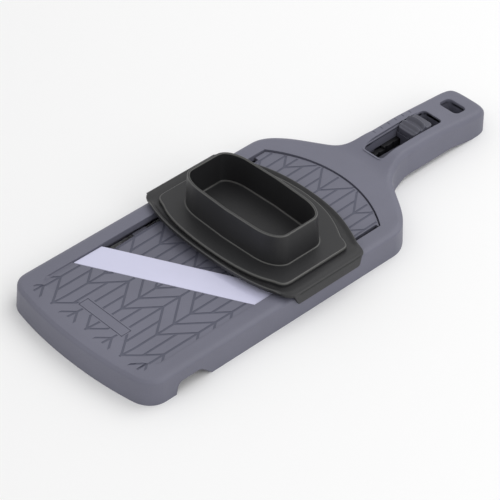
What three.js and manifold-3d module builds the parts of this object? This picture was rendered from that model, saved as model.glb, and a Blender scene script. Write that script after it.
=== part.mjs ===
// Adjustable mandoline slicer with a sliding hand guard.
// Millimetres, +Z up. X runs across the rails, Y runs from the front end to the handle end.
// Lengths along Y are given from the front edge of the deck and the whole model is centred at the end.
import * as THREE from 'three';
import { mergeVertices } from 'three/addons/utils/BufferGeometryUtils.js';
import Module from 'manifold-3d';

const wasm = await Module();
wasm.setup();

// ---- driving dimensions -------------------------------------------------------------------
const GAP = 0.3;                  // clearance between pieces that touch or carry each other
const FRONT_Y = -1.5;             // foot of the sloping front face
const TIP_Y = 312.5;              // end of the handle
const HALF_WIDTH = 59;            // half the width over the side walls
const HANDLE_HALF = 16;           // half the width of the handle
const WALL = 2.6;                 // side wall thickness
const RAIL_TOP = 15.5;            // top of the two guard rails
const DECK_TOP = 14.3;            // recessed food surface, flush with the blade
const DECK_UNDER = 11.5;          // underside of the food surface
const HANDLE_TOP = 20;            // highest level of the handle

const WINDOW_HALF = 47.3;         // half the width of the opening for blade and plate
const DISH_HALF = 47.5;           // half the width of the recess between the rails
const DISH_FRONT = 18;
const BLADE_SLOPE = 0.526;        // run along Y for each unit across: the blade lies on a slant
const BLADE_FRONT_Y = 66.2;       // front edge of the blade on the centre line
const BLADE_DEPTH = 20.8;         // blade size along Y
const BLADE_UNDER = 12.3;         // underside of the blade
const BEVEL_DEPTH = 5;            // ground bevel under the cutting edge, along Y

const PLATE_HALF = 44;            // half the width of the thickness plate beside its slots
const PLATE_THICK = 2.4;
const PLATE_TONGUE_HALF = 46.9;   // half the width of its hinged rear end
const PLATE_ARC_R = 79.7;         // rear edge of the plate is an arc about this centre
const ARC_CENTRE_Y = 123;
const SLOT_END = { left: 179, right: 187 };
const HINGE_Y = 187.5;            // tilt axis of the plate
const HINGE_Z = 8.5;
const PLATE_TOP_AT_HINGE = 14.3;
const PLATE_SLOPE = 0.0261;       // rise of the plate towards the hinge in the stored position, rad
const TILT_PER_MM = 0.0010875;    // plate tilt for each millimetre of slider travel, rad
const PEG_Y = 126;                // pegs that rest on the slider's ramps
const PEG_R = 1.3;
const PEG_Z = 10.9;

const ARM = { inner: 44.6, outer: 46.8, under: 4.5, low: 8.0, frontLeft: 84, frontRight: 106, rear: 170 };
const RAMP = { front: 117, rear: 153, run: 3 };
const BRIDGE_FRONT = 160;         // crossbar that joins the two arms of the slider
const STRIP = { under: 5.5, top: 7.5, left: -3.6, right: 6 };
const SLOT = { half: 7.5, front: 229, rear: 280, corner: 2.5 };
const COLLAR = { half: 9, margin: 1.5, under: 11.3, top: 17.6 };   // wall that lines the slot
const BUTTON = { front: 256.5, rear: 272.5, half: 7.0, base: 15.5 };
const SHOE = { half: 6.8, margin: 0.5, shoulder: 12.2 };           // slider block that fills the slot
const SLIDER_SCREW_X = 2;
const SPRING_SCREW_BACK = 3;      // from the rear of the button to the screw of the leaf spring

const CUP = { y: 132.7, halfX: 40, halfY: 21, floor: 20.7, rim: 41, wall: 2 };
const GUARD = { halfX: 61, sideFront: 107.5, sideRear: 158, front: 95.5, rear: 176.5 };
const FLANGE = { under: 17.8, top: 19.8 };
const SKIRT = { under: 11.5, wall: 1.6, front: 110.5, rear: 157 };
const RUNNER = { near: 50, far: 55, front: 110, rear: 156 };       // ribs that slide on the rails
const TABLE = { halfX: 52.5, front: 98.5, rear: 172, sideFront: 110, sideRear: 153, top: 21.5, wall: 2.2 };
const PIN_PLATE = { halfX: 34, halfY: 15, under: 17.1, top: 18.3, screwX: 26 };

// ---- finishes -----------------------------------------------------------------------------
const finish = (color, roughness, metalness = 0) =>
  new THREE.MeshStandardMaterial({ color, roughness, metalness });
const slate = finish(0x71727f, 0.55);
const slatePlate = finish(0x6d6e7c, 0.55);
const charcoal = finish(0x2c2c2e, 0.5);
const ceramic = finish(0xdcdcee, 0.2);
const steel = finish(0xb8bac0, 0.3, 1);
const black = finish(0x1b1b1d, 0.6);
const rubber = finish(0x222224, 0.85);

// ---- solid helpers ------------------------------------------------------------------------
function solid(geometry) {
  const bare = geometry.clone();
  bare.deleteAttribute('normal');
  bare.deleteAttribute('uv');
  const merged = mergeVertices(bare, 1e-4);
  return new wasm.Manifold(new wasm.Mesh({
    numProp: 3,
    vertProperties: new Float32Array(merged.attributes.position.array),
    triVerts: new Uint32Array(merged.index.array),
  }));
}

function geometryOf(body) {
  const mesh = body.getMesh();
  const geometry = new THREE.BufferGeometry();
  geometry.setAttribute('position', new THREE.BufferAttribute(new Float32Array(mesh.vertProperties), 3));
  geometry.setIndex(new THREE.BufferAttribute(new Uint32Array(mesh.triVerts), 1));
  geometry.computeVertexNormals();
  return geometry;
}

const shapeOf = (points) => new THREE.Shape(points.map(([x, y]) => new THREE.Vector2(x, y)));

// Prism over an XY outline between two heights.
function prism(points, low, high) {
  const geometry = new THREE.ExtrudeGeometry(shapeOf(points), { depth: high - low, bevelEnabled: false });
  return solid(geometry.translate(0, 0, low));
}

// Prism over a YZ outline between two X values.
function sidePrism(points, left, right) {
  const geometry = new THREE.ExtrudeGeometry(shapeOf(points), { depth: right - left, bevelEnabled: false });
  const turn = new THREE.Matrix4().makeBasis(
    new THREE.Vector3(0, 1, 0), new THREE.Vector3(0, 0, 1), new THREE.Vector3(1, 0, 0));
  return solid(geometry.applyMatrix4(turn).translate(left, 0, 0));
}

function block(x0, x1, y0, y1, z0, z1) {
  const geometry = new THREE.BoxGeometry(x1 - x0, y1 - y0, z1 - z0);
  return solid(geometry.translate((x0 + x1) / 2, (y0 + y1) / 2, (z0 + z1) / 2));
}

function post(x, y, radius, z0, z1, sides = 20) {
  const geometry = new THREE.CylinderGeometry(radius, radius, z1 - z0, sides);
  return solid(geometry.rotateX(Math.PI / 2).translate(x, y, (z0 + z1) / 2));
}

function crossRod(y, z, radius, x0, x1, sides = 20) {
  const geometry = new THREE.CylinderGeometry(radius, radius, x1 - x0, sides);
  return solid(geometry.rotateZ(Math.PI / 2).translate((x0 + x1) / 2, y, z));
}

const join = (...bodies) => bodies.reduce((whole, body) => whole.add(body));

// ---- outlines -----------------------------------------------------------------------------
// Closed outline from its right-hand half, given from front to rear.
function mirrored(half) {
  const left = half.filter(([x]) => x > 1e-6).map(([x, y]) => [-x, y]).reverse();
  return [...half, ...left];
}

function pathPoints(path, divisions) {
  return path.getPoints(divisions).map((p) => [p.x, p.y]);
}

// Moves every corner of a counter-clockwise outline inwards by the same distance.
function inset(points, distance) {
  const count = points.length;
  return points.map(([x, y], i) => {
    const before = points[(i + count - 1) % count];
    const after = points[(i + 1) % count];
    const a = new THREE.Vector2(x - before[0], y - before[1]).normalize();
    const b = new THREE.Vector2(after[0] - x, after[1] - y).normalize();
    const normal = new THREE.Vector2(-a.y - b.y, a.x + b.x).normalize();
    const reach = distance / Math.max(0.5, normal.dot(new THREE.Vector2(-a.y, a.x)));
    return [x + normal.x * reach, y + normal.y * reach];
  });
}

function roundedRectangle(x0, x1, y0, y1, r, divisions = 5) {
  const shape = new THREE.Shape();
  shape.absarc(x1 - r, y0 + r, r, -Math.PI / 2, 0, false);
  shape.absarc(x1 - r, y1 - r, r, 0, Math.PI / 2, false);
  shape.absarc(x0 + r, y1 - r, r, Math.PI / 2, Math.PI, false);
  shape.absarc(x0 + r, y0 + r, r, Math.PI, Math.PI * 1.5, false);
  return pathPoints(shape, divisions);
}

function bodyOutline() {
  const path = new THREE.Path();
  path.moveTo(0, FRONT_Y);
  path.quadraticCurveTo(26, FRONT_Y, 48, 3);
  path.bezierCurveTo(54, 4.5, HALF_WIDTH, 9, HALF_WIDTH, 16);
  path.lineTo(HALF_WIDTH, 187);
  path.bezierCurveTo(HALF_WIDTH, 196.5, 51, 203.5, 41.5, 210);
  path.lineTo(27, 219.5);
  path.bezierCurveTo(19.5, 224.5, HANDLE_HALF + 1, 231, HANDLE_HALF, 243);
  path.lineTo(HANDLE_HALF, 298);
  path.bezierCurveTo(HANDLE_HALF, 312, 14, TIP_Y, 0, TIP_Y);
  return mirrored(pathPoints(path, 9));
}

// Arc from the tongue's right corner over the rear of the plate to its left corner.
function rearArc(radius, halfWidth, steps = 18) {
  const reach = Math.asin(halfWidth / radius);
  return Array.from({ length: steps + 1 }, (_, i) => {
    const angle = reach * (1 - 2 * i / steps);
    return [radius * Math.sin(angle), ARC_CENTRE_Y + radius * Math.cos(angle)];
  });
}

const bladeLine = (x, offset = 0) => BLADE_FRONT_Y + BLADE_SLOPE * x + offset;

// Slanting band across the deck between two offsets from the blade's front edge.
function slantBand(halfWidth, near, far) {
  return [
    [-halfWidth, bladeLine(-halfWidth, near)], [halfWidth, bladeLine(halfWidth, near)],
    [halfWidth, bladeLine(halfWidth, far)], [-halfWidth, bladeLine(-halfWidth, far)],
  ];
}

function barrelOutline(halfX, front, rear, sideFront, sideRear) {
  const path = new THREE.Path();
  path.moveTo(0, front);
  path.bezierCurveTo(halfX * 0.45, front, halfX * 0.7, front + 3, halfX * 0.84, front + 7);
  path.quadraticCurveTo(halfX, front + 9.5, halfX, sideFront + 4);
  path.lineTo(halfX, sideRear);
  path.quadraticCurveTo(halfX, sideRear + 5, halfX * 0.84, sideRear + 6.5);
  path.bezierCurveTo(halfX * 0.6, rear - 5, halfX * 0.4, rear, 0, rear);
  return mirrored(pathPoints(path, 8));
}

// ---- fasteners ----------------------------------------------------------------------------
// Pan-head screw pointing up, with a hexagonal drive recess in the underside of its head.
function screw(x, y, headUnder, headHeight, headR, shankR, tip) {
  const top = headUnder + headHeight;
  const profile = [
    [0, headUnder], [headR - 0.3, headUnder], [headR, headUnder + 0.3], [headR, top],
    [shankR, top], [shankR, tip - 0.8], [0, tip],
  ].map(([r, z]) => new THREE.Vector2(r, z));
  const turned = solid(new THREE.LatheGeometry(profile, 16).rotateX(Math.PI / 2).translate(x, y, 0));
  return turned.subtract(post(x, y, headR * 0.45, headUnder - 1, headUnder + headHeight * 0.6, 6));
}

// ---- frame --------------------------------------------------------------------------------
function frameShell() {
  const outline = bodyOutline();
  const profile = [
    [FRONT_Y - 1, 0], [222, 0], [232, 1], [240, 3], [281, 3], [290, 1.2], [298, 0], [310, 0],
    [TIP_Y + 1, 2.5], [TIP_Y + 1, 11], [311, 14.2], [306, 15.9], [296, 16.8], [285, 18.1],
    [272, 19.5], [260, HANDLE_TOP], [240, HANDLE_TOP], [230, 18.7], [221, 16.3], [213, RAIL_TOP],
    [FRONT_Y - 1, RAIL_TOP],
  ];
  const cavityProfile = [
    [FRONT_Y - 1, -1], [FRONT_Y - 1, DECK_UNDER], [205, DECK_UNDER], [216, 12.6], [224, 14.5],
    [231, 16.4], [238, 17.2], [262, 17.2], [275, 16.4], [286, 15.4], [300, 13.8], [TIP_Y, 12], [TIP_Y, -1],
  ];
  const inner = inset(outline, WALL);
  const outer = prism(outline, -1, 25).intersect(sidePrism(profile, -HALF_WIDTH - 1, HALF_WIDTH + 1));
  const cavity = prism(inner, -2, 25).intersect(sidePrism(cavityProfile, -HALF_WIDTH, HALF_WIDTH));
  return outer.subtract(cavity);
}

// Two numbers measured outwards from the centre line, in rising order on either side.
const across = (side, near, far) => (side < 0 ? [-far, -near] : [near, far]);

function railHollow(side) {
  return block(...across(side, 49.5, 56.2), 24, 180, 5, 13.2);
}

function plateWindow() {
  return prism([
    [-WINDOW_HALF, bladeLine(-WINDOW_HALF)], [WINDOW_HALF, bladeLine(WINDOW_HALF)],
    ...rearArc(PLATE_ARC_R + 0.4, WINDOW_HALF),
  ], 6, 30);
}

// Block under the rail that carries the outer end of a hinge pin.
function hingeBoss(side) {
  return block(...across(side, 48, 57.5), HINGE_Y - 4, HINGE_Y + 4, 4.5, 13);
}

function bowlNotch(side) {
  const outline = [[23.4, -1], [48.9, -1], [48.9, 0], [41, 7.3], [26.6, 7.3], [23.4, 0]];
  return sidePrism(outline, ...across(side, 52, 61));
}

function deckRibs() {
  return [-30, -10, 10, 30].map((x) => block(x - 0.8, x + 0.8, 0, bladeLine(x, -12), 7, DECK_UNDER + 0.5));
}

const BLADE_SCREW_X = [-32, 0, 32];
const BLADE_SCREW_OFFSET = -5.7;
const KEEPER = { y: 212, screwX: 12.5, under: 2.7, top: 5.2 };
const COVER = { half: 13.1, front: 233, rear: 286, under: 3, top: 5, screwX: 10.9, screwY: [238, 281.5] };
const FRONT_FOOT = { x: 49, y: 13.5, r: 5 };
const HANDLE_FOOT_Y = 306.6;
const HOLE = { half: 7.4, front: 292, rear: 301.3, corner: 3, wall: 2 };
const CROSS_RIB = { half: 57, front: 140, rear: 146, under: 1.5, top: 4.2 };
const HINGE_BORE_R = 2.3;

// Wall round the slot and the hanging hole, moved outwards from the opening by a margin.
function collarOutline({ half, front, rear }, margin, corner) {
  return roundedRectangle(-half - margin, half + margin, front - margin, rear + margin, corner);
}

function mainFrame() {
  let body = frameShell();
  const slotCollar = prism(collarOutline(SLOT, COLLAR.margin, 3), COLLAR.under, COLLAR.top);
  const holeCollar = prism(collarOutline(HOLE, HOLE.wall, 4), 0, 15);
  body = join(body, slotCollar, holeCollar, ...deckRibs());
  body = body.add(block(
    -CROSS_RIB.half, CROSS_RIB.half, CROSS_RIB.front, CROSS_RIB.rear, CROSS_RIB.under, CROSS_RIB.top));
  body = body.add(post(0, HANDLE_FOOT_Y, 3.4, 2.1, 14.5));
  for (const side of [-1, 1]) {
    body = body.subtract(railHollow(side)).add(hingeBoss(side));
    body = body.add(post(side * KEEPER.screwX, KEEPER.y, 3.6, KEEPER.top + GAP, 13));
    body = body.add(post(side * FRONT_FOOT.x, FRONT_FOOT.y, 6.5, 2.3, DECK_UNDER + 0.5, 24));
    for (const y of COVER.screwY) body = body.add(post(side * COVER.screwX, y, 2.55, COVER.top + GAP, 16));
  }
  const dish = roundedRectangle(-DISH_HALF, DISH_HALF, DISH_FRONT, 150, 9);
  body = body.subtract(prism(dish, DECK_TOP, 30)).subtract(plateWindow());
  body = body.subtract(prism(collarOutline(SLOT, 0, SLOT.corner), 5, 30));
  body = body.subtract(prism(collarOutline(HOLE, 0, HOLE.corner), -2, 30));
  for (const side of [-1, 1]) {
    body = body.subtract(bowlNotch(side));
    body = body.subtract(crossRod(HINGE_Y, HINGE_Z, HINGE_BORE_R, ...across(side, 47, 53.5)));
    body = body.subtract(post(side * KEEPER.screwX, KEEPER.y, 1.4, 4, 9.6));
    body = body.subtract(post(side * FRONT_FOOT.x, FRONT_FOOT.y, 1.9, 1, 6.6));
    for (const y of COVER.screwY) body = body.subtract(post(side * COVER.screwX, y, 1.2, 4, 10));
  }
  body = body.subtract(post(0, HANDLE_FOOT_Y, 1.6, 1, 6.2));
  for (const x of BLADE_SCREW_X) {
    body = body.subtract(post(x, bladeLine(x, BLADE_SCREW_OFFSET), 1.4, DECK_UNDER - 1, 13.4));
  }
  return body;
}

// ---- blade --------------------------------------------------------------------------------
function bladeBody() {
  const edgeThickness = 0.15;
  const section = [
    [GAP, BLADE_UNDER], [BLADE_DEPTH - BEVEL_DEPTH, BLADE_UNDER], [BLADE_DEPTH, DECK_TOP - edgeThickness],
    [BLADE_DEPTH, DECK_TOP], [GAP, DECK_TOP],
  ];
  const half = WINDOW_HALF - GAP;
  const straight = new THREE.ExtrudeGeometry(shapeOf(section), { depth: 2 * half, bevelEnabled: false });
  const place = new THREE.Matrix4().set(
    0, 0, 1, -half,
    1, 0, BLADE_SLOPE, bladeLine(-half),
    0, 1, 0, 0,
    0, 0, 0, 1);
  return solid(straight.applyMatrix4(place));
}

// Bar below the deck with a raised half that presses on the blade.
function bladeClamp() {
  const [half, rear] = [43.5, 13.6];
  let clamp = join(
    prism(slantBand(half, -10.2, rear), DECK_UNDER - 2.8, DECK_UNDER - GAP),
    prism(slantBand(half, 0.8, rear), DECK_UNDER - 2.6, BLADE_UNDER - GAP));
  for (const x of BLADE_SCREW_X) {
    clamp = clamp.subtract(post(x, bladeLine(x, BLADE_SCREW_OFFSET), 1.5, 8, 12.5));
  }
  return clamp;
}

// ---- thickness plate ----------------------------------------------------------------------
// Built level with its top at the hinge height, then leaned forwards about the hinge.
function leaned(body) {
  const geometry = geometryOf(body);
  geometry.translate(0, -HINGE_Y, -HINGE_Z).rotateX(PLATE_SLOPE).translate(0, HINGE_Y, HINGE_Z);
  return solid(geometry);
}

function thicknessPlate() {
  const top = PLATE_TOP_AT_HINGE;
  const under = top - PLATE_THICK;
  const frontGap = BLADE_DEPTH + 1.6;
  const outline = [
    [-PLATE_HALF, bladeLine(-PLATE_HALF, frontGap)], [PLATE_HALF, bladeLine(PLATE_HALF, frontGap)],
    [PLATE_HALF, SLOT_END.right + GAP], [PLATE_TONGUE_HALF, SLOT_END.right + GAP],
    ...rearArc(PLATE_ARC_R, PLATE_TONGUE_HALF),
    [-PLATE_TONGUE_HALF, SLOT_END.left + GAP], [-PLATE_HALF, SLOT_END.left + GAP],
  ];
  const ribs = [-43.2, -22, 0, 22, 43.2].map((x) => block(
    x - 0.8, x + 0.8, bladeLine(x, frontGap + 3), 180, under - 1.6, under + 0.4));
  const lugs = [-1, 1].flatMap((side) => {
    const width = across(side, PLATE_HALF - 4, PLATE_HALF);
    return [
      block(...width, HINGE_Y - 4, HINGE_Y + 4, HINGE_Z - 3.6, DECK_UNDER - 0.5),
      block(...width, HINGE_Y - 4, HINGE_Y + 1.5, HINGE_Z, under + 0.4),
    ];
  });
  let plate = leaned(join(prism(outline, under, top), ...ribs, ...lugs));
  for (const side of [-1, 1]) {
    plate = plate.add(crossRod(PEG_Y, PEG_Z, PEG_R, ...across(side, PLATE_HALF - 1, 46.6), 16));
    plate = plate.subtract(crossRod(HINGE_Y, HINGE_Z, HINGE_BORE_R, ...across(side, 39, 47.5)));
  }
  return plate;
}

// ---- slider that sets the thickness ---------------------------------------------------------
function rampArm(side, frontY) {
  const lever = HINGE_Y - PEG_Y;
  const rampTop = (y) => PEG_Z - PEG_R - GAP + lever * TILT_PER_MM * (y - PEG_Y);
  const profile = [
    [frontY, ARM.under], [ARM.rear, ARM.under], [ARM.rear, ARM.low], [RAMP.rear + RAMP.run, ARM.low],
    [RAMP.rear, rampTop(RAMP.rear)], [RAMP.front, rampTop(RAMP.front)], [RAMP.front - RAMP.run, ARM.low],
    [frontY, ARM.low],
  ];
  return sidePrism(profile, ...across(side, ARM.inner, ARM.outer));
}

const SLIDER_SCREW_Y = (BUTTON.front + BUTTON.rear) / 2;

function adjusterCarriage() {
  const tab = sidePrism([[84, 7.5], [102, 7.5], [102, 9.6], [94, 9.6], [94, 10.8], [84, 10.8]],
    -ARM.outer, -ARM.inner);
  const neck = [[-14, 168], [14, 168], [STRIP.right, 190], [STRIP.right, 226], [STRIP.left, 226], [-6, 190]];
  const [shoeFront, shoeRear] = [BUTTON.front - SHOE.margin, BUTTON.rear + SHOE.margin];
  const carriage = join(
    rampArm(-1, ARM.frontLeft), rampArm(1, ARM.frontRight), tab,
    block(-ARM.inner - 0.5, ARM.inner + 0.5, BRIDGE_FRONT, ARM.rear, ARM.under, STRIP.top),
    prism(neck, STRIP.under, STRIP.top),
    block(STRIP.left, STRIP.right, 225, shoeFront + 1, STRIP.under, STRIP.top),
    block(STRIP.left, SHOE.half, shoeFront, shoeRear, STRIP.under, SHOE.shoulder),
    block(-SHOE.half, SHOE.half, shoeFront, shoeRear, SHOE.shoulder - 0.2, BUTTON.base - GAP));
  return carriage
    .subtract(post(SLIDER_SCREW_X, SLIDER_SCREW_Y, 3, 5, 8))
    .subtract(post(SLIDER_SCREW_X, SLIDER_SCREW_Y, 1.4, 7, 17))
    .subtract(crossRod(BUTTON.rear - SPRING_SCREW_BACK, 9, 0.8, -4, 0, 12));
}

function thumbButton() {
  const { front, rear, half, base } = BUTTON;
  const profile = [
    [front, base], [rear, base], [rear, 19.4], [rear - 3.4, 20.2], [rear - 4.6, 22.4],
    [rear - 6.2, 22.8], [rear - 7.6, 21.2], [rear - 9.2, 20.6], [rear - 10.4, 22],
    [rear - 12, 21.8], [rear - 13.2, 20.4], [front, 19.6],
  ];
  return sidePrism(profile, -half, half).subtract(post(SLIDER_SCREW_X, SLIDER_SCREW_Y, 1.4, base - 1, 18.6));
}

function detentSpring() {
  const outline = [
    [-4.1, 262], [-4.1, 258.4], [-4.45, 257.6], [-4.1, 256.8], [-3.8, 256.8], [-4.1, 257.6],
    [-3.85, 258.4], [-3.85, 272.5], [-4.1, 272.5],
  ];
  return prism(outline, 7.4, 10.6).subtract(crossRod(BUTTON.rear - SPRING_SCREW_BACK, 9, 0.8, -5, -3, 12));
}

function detentSpringScrew() {
  const y = BUTTON.rear - SPRING_SCREW_BACK;
  return join(crossRod(y, 9, 1.2, -4.6, -4.3, 12), crossRod(y, 9, 0.55, -4.4, -0.4, 12));
}

// Rail beside the slider with one notch for each thickness setting.
function detentRack() {
  const [left, right] = [-8.1, -4.7];
  const [low, high] = [9.4, 11];
  const [front, rise, rear] = [230, 244, 280];
  const [firstNotch, pitch, notchCount] = [233.6, 6, 8];
  let rack = join(
    block(left, right, front, rise + 0.5, COVER.top + GAP, low),
    block(left, right, rise, rear, COVER.top + GAP, high));
  for (let i = 0; i < notchCount; i += 1) {
    const y = firstNotch + i * pitch;
    rack = rack.subtract(prism([[-5.6, y], [-4.5, y - 1.3], [-4.5, y + 1.3]], 4, high + 1));
  }
  return rack;
}

// ---- covers under the handle and neck -------------------------------------------------------
function carriageKeeper() {
  let strap = prism(roundedRectangle(-17, 17, KEEPER.y - 5, KEEPER.y + 5, 3), KEEPER.under, KEEPER.top);
  for (const side of [-1, 1]) strap = strap.subtract(post(side * KEEPER.screwX, KEEPER.y, 1.5, 2, 6));
  return strap;
}

function handleCover() {
  const outline = roundedRectangle(-COVER.half, COVER.half, COVER.front, COVER.rear, 4);
  let cover = prism(outline, COVER.under, COVER.top);
  for (const side of [-1, 1]) {
    for (const y of COVER.screwY) {
      const x = side * COVER.screwX;
      cover = cover.subtract(post(x, y, 1.25, 2, 6)).subtract(post(x, y, 1.95, 2, 4.3));
    }
  }
  return cover;
}

// ---- rubber feet ----------------------------------------------------------------------------
function foot(x, y, r, stemR, stemTop) {
  const profile = [[0, 0], [r - 0.4, 0], [r, 0.4], [r, 1.8], [stemR, 1.8], [stemR, stemTop], [0, stemTop]];
  const points = profile.map(([radius, z]) => new THREE.Vector2(radius, z));
  return solid(new THREE.LatheGeometry(points, 20).rotateX(Math.PI / 2).translate(x, y, 0));
}

// ---- hand guard -----------------------------------------------------------------------------
function cupOutline(halfX, halfY) {
  const path = new THREE.Path();
  const corner = 13;
  path.moveTo(0, -halfY);
  path.lineTo(halfX - corner - 6, -halfY + 0.8);
  path.bezierCurveTo(halfX - corner + 5, -halfY + 1.2, halfX, -halfY + 6, halfX, -halfY + corner);
  path.lineTo(halfX, halfY - corner);
  path.bezierCurveTo(halfX, halfY - 6, halfX - corner + 5, halfY - 1.2, halfX - corner - 6, halfY - 0.8);
  path.lineTo(0, halfY);
  return mirrored(pathPoints(path, 6)).map(([x, y]) => [x, y + CUP.y]);
}

function guardShell() {
  const flangeOutline = barrelOutline(GUARD.halfX, GUARD.front, GUARD.rear, GUARD.sideFront, GUARD.sideRear);
  const tableOutline = barrelOutline(TABLE.halfX, TABLE.front, TABLE.rear, TABLE.sideFront, TABLE.sideRear);
  let shell = prism(flangeOutline, FLANGE.under, FLANGE.top).add(prism(tableOutline, 19, TABLE.top));
  for (const side of [-1, 1]) {
    const skirt = across(side, GUARD.halfX - SKIRT.wall, GUARD.halfX);
    const runner = across(side, RUNNER.near, RUNNER.far);
    shell = shell.add(block(...skirt, SKIRT.front, SKIRT.rear, SKIRT.under, 19));
    shell = shell.add(block(...runner, RUNNER.front, RUNNER.rear, RAIL_TOP + GAP, 18));
  }
  shell = shell.subtract(prism(inset(tableOutline, TABLE.wall), 17, TABLE.top - 2.1));
  shell = shell.add(prism(cupOutline(CUP.halfX, CUP.halfY), 18.6, CUP.rim));
  shell = shell.subtract(prism(cupOutline(CUP.halfX - CUP.wall, CUP.halfY - CUP.wall), CUP.floor, 50));
  for (const side of [-1, 1]) shell = shell.subtract(post(side * PIN_PLATE.screwX, CUP.y, 1.3, 18, 20));
  return shell;
}

// Oval carrier with the short pins that hold the food.
function pinPlate() {
  const { halfX, halfY, under, top, screwX } = PIN_PLATE;
  const [pinLength, columnPitch, rowPitch] = [2.5, 9.5, 9];
  let carrier = prism(roundedRectangle(-halfX, halfX, CUP.y - halfY, CUP.y + halfY, 14), under, top);
  for (const side of [-1, 1]) carrier = carrier.subtract(post(side * screwX, CUP.y, 1.3, 16, 19));
  for (const row of [-1, 0, 1]) {
    const columns = row === 0 ? [-2, -1, 0, 1, 2] : [-2.5, -1.5, -0.5, 0.5, 1.5, 2.5];
    for (const column of columns) {
      const pin = new THREE.CylinderGeometry(0.9, 0.25, pinLength, 8).rotateX(Math.PI / 2);
      const height = under + GAP - pinLength / 2;
      carrier = carrier.add(solid(pin.translate(column * columnPitch, CUP.y + row * rowPitch, height)));
    }
  }
  return carrier;
}

// ---- assembly -------------------------------------------------------------------------------
const mandoline = new THREE.Group();
mandoline.position.y = -(FRONT_Y + TIP_Y) / 2;

function place(name, body, material) {
  const mesh = new THREE.Mesh(geometryOf(body), material);
  mesh.name = name;
  mandoline.add(mesh);
}

place('main_frame', mainFrame(), slate);
place('ceramic_blade', bladeBody(), ceramic);
place('blade_clamp', bladeClamp(), black);
BLADE_SCREW_X.forEach((x, i) => {
  place(`blade_screw_${i + 1}`, screw(x, bladeLine(x, BLADE_SCREW_OFFSET), 7, 1.4, 2.8, 1.1, 13), steel);
});

place('thickness_plate', thicknessPlate(), slatePlate);
place('adjuster_carriage', adjusterCarriage(), slate);
place('thumb_button', thumbButton(), slate);
place('thumb_button_screw', screw(SLIDER_SCREW_X, SLIDER_SCREW_Y, 6, 1.6, 2.5, 1.1, 18.2), steel);
place('detent_spring', detentSpring(), steel);
place('detent_spring_screw', detentSpringScrew(), steel);
place('detent_rack', detentRack(), black);
place('carriage_keeper', carriageKeeper(), black);
place('handle_cover', handleCover(), slate);
place('handle_foot', foot(0, HANDLE_FOOT_Y, 3, 1.3, 5.8), rubber);

for (const [side, name] of [[-1, 'left'], [1, 'right']]) {
  place(`plate_hinge_pin_${name}`, crossRod(HINGE_Y, HINGE_Z, 2, ...across(side, 40.5, 53)), steel);
  place(`keeper_screw_${name}`, screw(side * KEEPER.screwX, KEEPER.y, 1.2, 1.2, 2.6, 1.1, 9.2), steel);
  place(`front_foot_${name}`, foot(side * FRONT_FOOT.x, FRONT_FOOT.y, FRONT_FOOT.r, 1.6, 6.2), rubber);
  COVER.screwY.forEach((y, i) => {
    place(`cover_screw_${name}_${i + 1}`, screw(side * COVER.screwX, y, 3.05, 1, 1.6, 0.9, 9.5), steel);
  });
  place(`pin_plate_screw_${name}`, screw(side * PIN_PLATE.screwX, CUP.y, 15.7, 1.1, 2.4, 1, 19.7), steel);
}

place('guard_shell', guardShell(), charcoal);
place('pin_plate', pinPlate(), charcoal);

export default mandoline;
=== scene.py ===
import math

import bmesh
import bpy
import numpy as np
from mathutils import Matrix, Vector
from mathutils.geometry import interpolate_bezier


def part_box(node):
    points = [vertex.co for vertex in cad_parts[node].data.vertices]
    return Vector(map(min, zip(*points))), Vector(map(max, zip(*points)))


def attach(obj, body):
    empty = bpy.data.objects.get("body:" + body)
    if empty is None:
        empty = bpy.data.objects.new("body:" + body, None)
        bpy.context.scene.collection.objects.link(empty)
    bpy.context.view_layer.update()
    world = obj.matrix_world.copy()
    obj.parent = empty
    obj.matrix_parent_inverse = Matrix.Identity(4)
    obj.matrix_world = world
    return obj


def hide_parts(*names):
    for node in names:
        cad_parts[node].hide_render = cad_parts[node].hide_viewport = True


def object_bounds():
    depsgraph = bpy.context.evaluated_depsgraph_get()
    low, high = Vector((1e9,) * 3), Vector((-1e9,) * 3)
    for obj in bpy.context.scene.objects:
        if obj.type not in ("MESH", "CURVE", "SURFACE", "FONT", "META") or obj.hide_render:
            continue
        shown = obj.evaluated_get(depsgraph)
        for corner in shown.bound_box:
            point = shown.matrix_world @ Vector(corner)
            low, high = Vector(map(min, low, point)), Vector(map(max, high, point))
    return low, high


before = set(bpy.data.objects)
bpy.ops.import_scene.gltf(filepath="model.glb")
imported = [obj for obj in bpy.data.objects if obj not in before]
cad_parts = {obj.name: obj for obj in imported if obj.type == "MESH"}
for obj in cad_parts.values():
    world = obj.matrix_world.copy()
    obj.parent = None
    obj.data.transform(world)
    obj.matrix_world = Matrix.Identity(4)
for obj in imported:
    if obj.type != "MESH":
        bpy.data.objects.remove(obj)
CAD_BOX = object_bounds()

bl_info = {
    "name": "Mandoline Slicer",
    "version": (1, 0, 0),
    "blender": (4, 5, 0),
    "location": "View3D > Sidebar > Slicer",
    "description": "Builds a slicing board with a ceramic blade, a tilting plate and a sliding hand guard",
    "category": "Add Mesh",
}

# Lengths below are millimetres: X across the rails, Y from the front edge of the deck, Z up.
MM = 0.001
FRONT_FOOT = 1.5                       # the front face leans out this far at its foot
EDGE_Y = CAD_BOX[0].y + FRONT_FOOT * MM


def node_box(node):
    """Lowest and highest corner of a CAD node in millimetres, Y from the front edge of the deck."""
    return [(corner - Vector((0, EDGE_Y, 0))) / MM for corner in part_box(node)]


BOARD_HIGH = node_box("main_frame")[1]
BLADE_LOW, BLADE_HIGH = node_box("ceramic_blade")
BUTTON_LOW, BUTTON_HIGH = node_box("thumb_button")
GUARD_HIGH = node_box("guard_shell")[1]
HINGE_LOW, HINGE_HIGH = node_box("plate_hinge_pin_right")

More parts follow.
